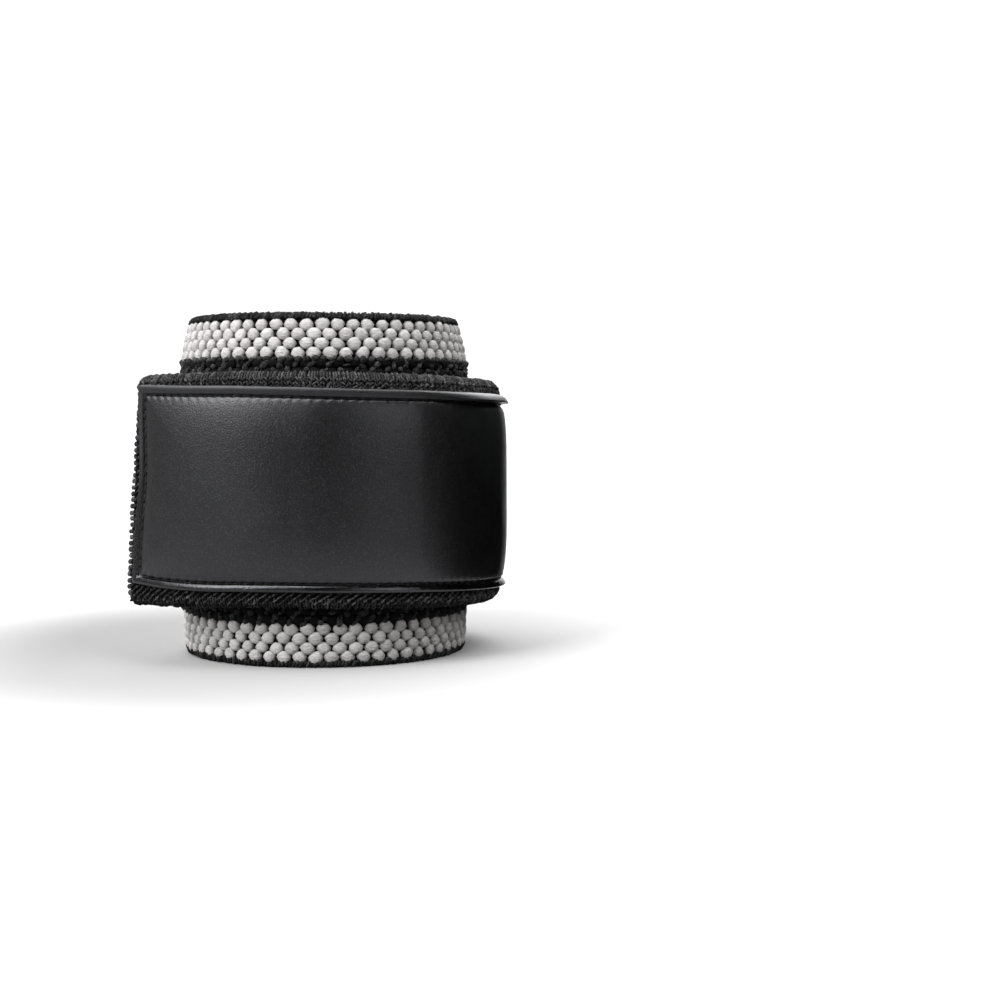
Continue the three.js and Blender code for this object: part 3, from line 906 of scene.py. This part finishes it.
# %% Shader helpers
class Wire:
    """A node's output, on which arithmetic adds Math nodes."""

    def __init__(self, finish, socket):
        self.finish, self.socket = finish, socket

    def math(self, operation, *values):
        return self.finish.node("Math", {"operation": operation}, dict(enumerate(values)))

    def __add__(self, other):
        return self.math("ADD", self, other)

    def __sub__(self, other):
        return self.math("SUBTRACT", self, other)

    def __rsub__(self, other):
        return self.math("SUBTRACT", other, self)

    def __mul__(self, other):
        return self.math("MULTIPLY", self, other)

    def __pow__(self, other):
        return self.math("POWER", self, other)

    def __abs__(self):
        return self.math("ABSOLUTE", self)

    __radd__ = __add__
    __rmul__ = __mul__


class Finish:
    """A material whose nodes are added by type, settings and sockets."""

    def __init__(self, name, **constants):
        self.material = bpy.data.materials.new(name)
        self.material.use_nodes = True
        self.tree = self.material.node_tree
        self.shader = self.tree.nodes["Principled BSDF"]
        self.set(**constants)

    def plug(self, socket, value):
        if isinstance(value, Wire):
            self.tree.links.new(value.socket, socket)
        else:
            socket.default_value = value

    def set(self, **sockets):
        for name, value in sockets.items():
            self.plug(self.shader.inputs[name.replace("_", " ").title().replace("Ior", "IOR")], value)

    def node(self, kind, settings=None, sockets=None, output=0):
        node = self.tree.nodes.new("ShaderNode" + kind)
        for name, value in (settings or {}).items():
            setattr(node, name, value)
        for name, value in (sockets or {}).items():
            self.plug(node.inputs[name], value)
        return Wire(self, node.outputs[output])

    def place(self):
        return self.node("TexCoord", output="Object")

    def tone(self):
        """The tone of each stamped copy, from 0 to 1."""
        return self.node("Attribute", {"attribute_name": "tone"}, output="Fac")

    def noise(self, place, scale, detail, roughness=0.5):
        sockets = {"Vector": place, "Scale": scale, "Detail": detail, "Roughness": roughness}
        return self.node("TexNoise", None, sockets)

    def ramp(self, value, low, high, **settings):
        """How far a value has come from low to high, from 0 to 1."""
        return self.node("MapRange", settings, {"Value": value, "From Min": low, "From Max": high})

    def mix(self, share, *colours):
        """A colour between two others; a colour is a tuple or a Wire."""
        first, second = (colour if isinstance(colour, Wire) else (*colour, 1) for colour in colours)
        return self.node("Mix", {"data_type": "RGBA"}, {0: share, 6: first, 7: second}, output=2)

    def bump(self, height, depth):
        """A normal from a height of 0 to 1 that stands for a depth in mm."""
        return self.node("Bump", None, {"Strength": 1.0, "Distance": depth * MM, "Height": height})

    def on(self, *pieces):
        for piece in pieces:
            piece.data.materials.clear()
            piece.data.materials.append(self.material)


print("shader helpers ready")

# %% [markdown]
# ## Yarn
# A yarn puff shows fine fibres along its length and a slight change of grey from puff to puff, and painted
# shade darkens it towards its ends, where it dives into the weave. About half of the puffs show a fold
# between two strands, a groove in the bump that is also darkened with painted shade.
# The fibres are noise stretched along the puff's own UV map, shifted by the copy's tone so that no two puffs
# are alike.

# %% Yarn finishes
def yarn_finish(name, dark, light, depth, **constants):
    finish = Finish(name, roughness=0.85, **constants)
    around = finish.node("SeparateXYZ", None, {0: finish.node("UVMap", {"uv_map": "yarn"})})
    along = Wire(finish, around.socket.node.outputs[1])
    tone = finish.tone()
    fibres_at = finish.node("CombineXYZ", None, {0: around * 26, 1: along * 2.6, 2: tone * 60})
    fibres = finish.ramp(finish.noise(fibres_at, 1.0, 2.0, 0.7), 0.32, 0.68)
    from_middle = along - 0.5
    bent = around + from_middle * from_middle * 0.35 + tone * 0.3 - 0.27
    # A fold between two strands: a groove in the bump, with painted shade darkening its colour.
    shaded_fold = (1 - finish.ramp(abs(bent), 0.006, 0.028)) * finish.ramp(tone, 0.45, 0.5)
    # Painted shade: the colour darkens towards the puff's two ends, where it dives into the weave.
    middle = 1 - (abs(from_middle) * 2) ** 4
    share = (fibres * 0.42 + tone * 0.16 + 0.5) * (middle * 0.6 + 0.4) * (1 - shaded_fold * 0.7)
    finish.set(base_color=finish.mix(share, dark, light))
    finish.set(normal=finish.bump(fibres * 0.5 - shaded_fold, depth))
    return finish


GREY_DARK, GREY_LIGHT = (0.1, 0.095, 0.095), (0.74, 0.715, 0.71)
BLACK_DARK, BLACK_LIGHT = (0.0005, 0.0005, 0.0005), (0.009, 0.009, 0.0092)
grey_yarn = yarn_finish("grey_yarn_fibre", GREY_DARK, GREY_LIGHT, 0.26, specular_ior_level=0.2)
black_yarn = yarn_finish("black_yarn_fibre", BLACK_DARK, BLACK_LIGHT, 0.2, specular_ior_level=0.08)
grey_yarn.on(beads["grey_beads_upper"], beads["grey_beads_lower"])
black_yarn.on(beads["black_beads_outer"], beads["black_beads_inner"])
print("yarn finishes", grey_yarn.material.name, black_yarn.material.name)

# %% [markdown]
# ## Elastic, webbing and thread
# These blacks differ in nap, and some are painted lighter or darker: the elastic is dry and even, the webbing
# is napped, with its loops painted lighter and given pale painted glints and its core painted darker as shade
# between them, the selvedge and binder yarns carry painted glints too, and the thread has a slight gloss.
# So one function makes them all from a short table.

# %% Black textile finishes
DEEP_BLACK, PAINTED_GLINT = (0.001, 0.001, 0.001), (0.3, 0.3, 0.3)
# Lightest black, share of painted glints, grains in a metre, depth of the nap in mm, roughness, specular
# level, pieces
TEXTILES = {
    "elastic_ground": ((0.01, 0.01, 0.01), 0.0, 2500, 0.1, 0.85, 0.1, [band_ground]),
    "selvedge_yarn": ((0.025, 0.025, 0.025), 0.45, 2300, 0.25, 0.8, 0.06, [selvedge]),
    # Painted shade and light: the core is painted darker than the loops to stand for the shade in the gaps
    # between them, and the loops are painted lighter.
    "webbing_core": ((0.004, 0.004, 0.0042), 0.0, 2600, 0.1, 0.85, 0.1, [strap_core]),
    "webbing_loops": ((0.052, 0.052, 0.054), 0.8, 2600, 0.14, 0.8, 0.06, [strap_edging, strap_loops]),
    "sewing_thread": ((0.01, 0.01, 0.01), 0.05, 4000, 0.06, 0.55, 0.2, [stitches, root_seam]),
    "binder_yarn": (
        (0.045, 0.045, 0.045), 0.4, 2400, 0.18, 0.75, 0.15, [beads["binders_outer"], beads["binders_inner"]],
    ),
}


def black_textile(name, light, glint_share, grain, depth, roughness, specular):
    """A black whose nap varies finely and whose palest copies show pale painted glints."""
    finish = Finish(name, roughness=roughness, specular_ior_level=specular)
    nap = finish.ramp(finish.noise(finish.place(), grain, 3.0, 0.7), 0.35, 0.7)
    tone = finish.tone()
    # Painted glints: pale flecks on the palest copies stand for highlights on the fibres.
    painted_glints = nap * (tone * tone * 0.85 + 0.15)
    finish.set(base_color=finish.mix(painted_glints * glint_share, finish.mix(nap, DEEP_BLACK, light), PAINTED_GLINT))
    finish.set(normal=finish.bump(nap, depth))
    return finish


for name, (*values, pieces) in TEXTILES.items():
    black_textile(name, *values).on(*pieces)
print("textile finishes", list(TEXTILES))

# %% [markdown]
# ## Leather
# The facing is a satin black leather, whose fine pebbled grain breaks up the softbox's reflection.
# Its lower rim is rubbed smoother than the field, and its upper rim is duller, apart from the right.
# An attribute on the mesh tells the finish where the rims are.

# %% Leather finish
GRAIN_DEPTH = 0.07
leather_finish = Finish("satin_leather", specular_ior_level=0.57, specular_tint=(0.95, 0.95, 1, 1))
place = leather_finish.place()
pebble_sockets = {"Vector": place, "Scale": 2600.0, "Smoothness": 0.7}
pebbles = leather_finish.node("TexVoronoi", {"feature": "SMOOTH_F1"}, pebble_sockets)
fine = leather_finish.noise(place, 3000.0, 3.0)
cloud = leather_finish.noise(place, 70.0, 3.0)
specks = leather_finish.ramp(fine, 0.52, 0.7)
rubbed = leather_finish.node("Attribute", {"attribute_name": "rim"}, output="Fac")
leather_finish.set(base_color=leather_finish.mix(specks, (0.0, 0.0, 0.0), (0.018, 0.018, 0.019)))
leather_finish.set(roughness=cloud * 0.12 + fine * 0.12 + 0.27 - rubbed * 0.16)
leather_finish.set(normal=leather_finish.bump(pebbles * 0.4 + fine * 0.6, GRAIN_DEPTH))
leather_finish.on(leather)
print("leather finish", leather_finish.material.name)

# %% [markdown]
# ## What each piece belongs to
# Nothing here is jointed, so every piece rides on the one body.

# %% Belonging
SLOTS = {
    "black_elastic": [band_ground, selvedge, *(beads[name] for name in beads if "grey" not in name)],
    "grey_yarn": [beads["grey_beads_upper"], beads["grey_beads_lower"]],
    "black_webbing": [strap_core, strap_edging, strap_loops, root_seam],
    "black_leather": [leather, stitches],
}
for slot, pieces in SLOTS.items():
    for piece in pieces:
        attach(piece, "root")
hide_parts("elastic_band")
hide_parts("grey_rows_upper")
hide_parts("grey_rows_lower")
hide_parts("closure_strap")
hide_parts("leather_panel")

print(sum(len(p.data.polygons) for pieces in SLOTS.values() for p in pieces), "faces in all")

# %% [markdown]
# ## Floor and backdrop
# The wrap stands on a white table that fades into white.
# The floor is a disc whose colour is painted grey near the wrap as painted shade, most of all on the left,
# and clear further out.
# A white dome closes the view behind it. Only the camera sees the dome, so it lights nothing.

# %% Floor
FLOOR_RADIUS, DOME_RADIUS = 4.0, 5.0
SOFT = {"interpolation_type": "SMOOTHSTEP"}

bpy.ops.object.select_all(action="DESELECT")
bpy.ops.mesh.primitive_circle_add(vertices=96, radius=FLOOR_RADIUS, fill_type="NGON")
floor = finish_mesh(bpy.context.object, "floor")
floor_paint = Finish("floor_white", roughness=0.7, specular_ior_level=0.0)
place = floor_paint.place()
reach = floor_paint.node("VectorMath", {"operation": "LENGTH"}, {0: place}, output="Value")
# Painted shade: the floor's colour is grey near the wrap, darkest on the left, and white further out.
across = floor_paint.ramp(floor_paint.node("SeparateXYZ", None, {0: place}), -0.06, 0.07)
near = floor_paint.mix(across, (0.4, 0.4, 0.4), (0.7, 0.7, 0.7))
far = floor_paint.ramp(reach, 0.06, 0.15, **SOFT)
floor_paint.set(base_color=floor_paint.mix(far, near, (0.95, 0.95, 0.95)))
floor_paint.set(alpha=1 - floor_paint.ramp(reach, 0.1, 0.2, **SOFT))
floor_paint.on(floor)
floor.visible_diffuse = False
print("floor", FLOOR_RADIUS, "m in radius")

# %% Backdrop
WHITE, BLACK = (1, 1, 1, 1), (0, 0, 0, 1)


def unseen(piece, *rays):
    """Hide a piece of the stage from some kinds of ray."""
    for ray in rays:
        setattr(piece, "visible_" + ray, False)


bpy.ops.object.select_all(action="DESELECT")
bpy.ops.mesh.primitive_uv_sphere_add(segments=48, ring_count=24, radius=DOME_RADIUS)
backdrop = finish_mesh(bpy.context.object, "backdrop")
edit(backdrop)
bpy.ops.mesh.select_all(action="SELECT")
bpy.ops.mesh.flip_normals()
backdrop = done()
backdrop_paper = Finish("backdrop_white", base_color=WHITE, emission_color=WHITE, emission_strength=1.0)
backdrop_paper.on(backdrop)
unseen(backdrop, "diffuse", "glossy", "transmission", "shadow")
print("backdrop", DOME_RADIUS, "m in radius")

# %% [markdown]
# ## Cards
# A photographer sets up cards to draw bright or dark lines along glossy edges.
# Here a black card darkens the leather on the right, and two bright ones, behind and at the upper left, draw
# the light along its rims.
# They show in reflections alone, so they neither light the floor nor stand in the view.

# %% Cards that only reflections see
AIM = (0, 0, 0.04)


def around(azimuth, elevation, distance, aim=AIM):
    """A place round the aim and the turn that faces it; azimuth is from the front, negative to the left."""
    turn, rise = math.radians(azimuth), math.radians(elevation)
    towards = np.array([math.sin(turn) * math.cos(rise), -math.cos(turn) * math.cos(rise), math.sin(rise)])
    return {"location": np.array(aim) + distance * towards, "rotation": (math.pi / 2 - rise, 0, turn)}


def card(name, size, glow, **place):
    bpy.ops.object.select_all(action="DESELECT")
    bpy.ops.mesh.primitive_plane_add(size=size, **place)
    piece = finish_mesh(bpy.context.object, name)
    paper = Finish(name + "_paper", base_color=BLACK, specular_ior_level=0.0)
    paper.set(emission_color=WHITE, emission_strength=glow)
    paper.material.cycles.emission_sampling = "NONE"
    paper.on(piece)
    unseen(piece, "camera", "diffuse", "transmission", "shadow")
    print(name, size, "m wide")


card("black_flag", 0.09, 0.0, **around(90, 0, 0.062, (0, 0, 0.025)))
card("rim_card", 0.6, 10.5, **around(150, 55, 0.6))
card("strip_card", 0.5, 7.0, **around(-50, 60, 0.6))

# %% [markdown]
# ## Light
# A large softbox at the front left gives the leather its broad sheen. A weaker one answers from the right.
# Two fills and a broad light from above open the shadows, and the fills don't show in the leather.
# The world is dim apart from two soft fields, behind the wrap and on its left, which glance along the edges.

# %% Lights
# Azimuth and elevation in degrees; distance, width and height in metres; watts; whether reflections show it
SOFTBOXES = {
    "softbox_left": (-50, 34, 0.9, 0.42, 0.5, 6.8, True),
    "fill_right": (44, 50, 0.9, 0.6, 0.6, 4.3, False),
    "fill_left": (-80, 6, 0.9, 0.5, 0.4, 1.5, False),
    "softbox_right": (38, 18, 1.0, 0.34, 0.5, 1.5, True),
}
for name, (azimuth, elevation, distance, width, height, power, reflected) in SOFTBOXES.items():
    bpy.ops.object.light_add(type="AREA", **around(azimuth, elevation, distance))
    light = bpy.context.object
    light.name = name
    light.data.shape = "RECTANGLE"
    light.data.size, light.data.size_y = width, height
    light.data.energy = power
    light.visible_glossy = reflected
bpy.ops.object.light_add(type="SUN", rotation=(math.radians(-14), math.radians(-6), 0))
sky_light = bpy.context.object
sky_light.name = "softbox_above"
sky_light.data.energy, sky_light.data.angle = 2.6, math.radians(70)

# %% World
# Axis, where along it the field starts and is full, and its strength before and after
FIELDS = (("Y", 0.84, 0.9, 0.03, 1.5), ("X", -0.15, -0.75, 0.0, 0.42))

world = bpy.data.worlds.new("studio")
bpy.context.scene.world = world
world.use_nodes = True
sky = world.node_tree
towards = sky.nodes.new("ShaderNodeTexCoord")
split = sky.nodes.new("ShaderNodeSeparateXYZ")
sky.links.new(towards.outputs["Generated"], split.inputs[0])
total = sky.nodes.new("ShaderNodeMath")
for slot, (axis, *numbers) in enumerate(FIELDS):
    field = sky.nodes.new("ShaderNodeMapRange")
    field.interpolation_type = "SMOOTHSTEP"
    for name, value in zip(("From Min", "From Max", "To Min", "To Max"), numbers):
        field.inputs[name].default_value = value
    sky.links.new(split.outputs[axis], field.inputs["Value"])
    sky.links.new(field.outputs[0], total.inputs[slot])
sky.links.new(total.outputs[0], sky.nodes["Background"].inputs["Strength"])
sky.nodes["Background"].inputs["Color"].default_value = WHITE
bpy.context.scene.view_settings.view_transform = "Standard"
print("world with", len(FIELDS), "fields of light")
